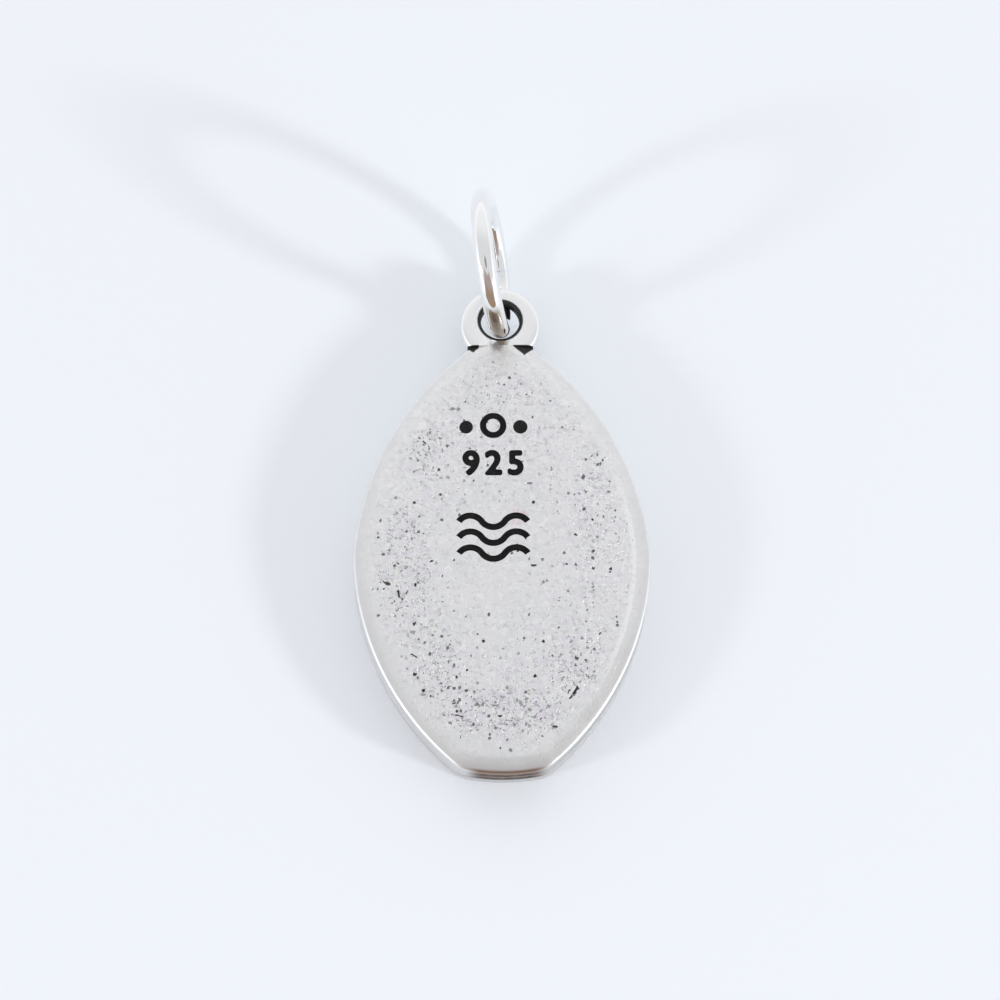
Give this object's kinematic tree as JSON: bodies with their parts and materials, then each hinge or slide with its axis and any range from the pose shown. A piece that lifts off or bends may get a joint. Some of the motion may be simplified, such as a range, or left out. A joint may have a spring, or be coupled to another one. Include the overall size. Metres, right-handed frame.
{
  "type": "pendant",
  "caption": "Leaf-shaped silver medal with a raised fish outline on its face, a soldered hanging loop and an open-jointed jump ring.",
  "frame": {"origin": "middle of the whole pendant's outline as it lies on its face, at the height of the table", "axes": "+Y from the medal's foot to its hanging loop and ring, +Z out of the medal's back, away from the table, +X to the right seen from the back"},
  "size_m": [0.0116, 0.0234, 0.0059],
  "materials": {
    "satin_silver": "satin, tumbled, with small dark pits",
    "rubbed_silver": "polished on the high parts, darkened in the low ones",
    "bright_silver": "polished"
  },
  "bodies": {
    "medal": {"back_plate": "satin_silver", "face_rim": "rubbed_silver", "fish": "rubbed_silver", "hanging_loop": "bright_silver"},
    "ring": {"jump_ring": "bright_silver"}
  },
  "joints": [
    {"name": "ring_swing", "type": "hinge", "parent": "medal", "child": "ring", "pos_m": [-0.00003, 0.00791, 0.00143], "axis": [0.9852, 0.0897, 0.1461], "range_deg": [-120, 3]}
  ]
}
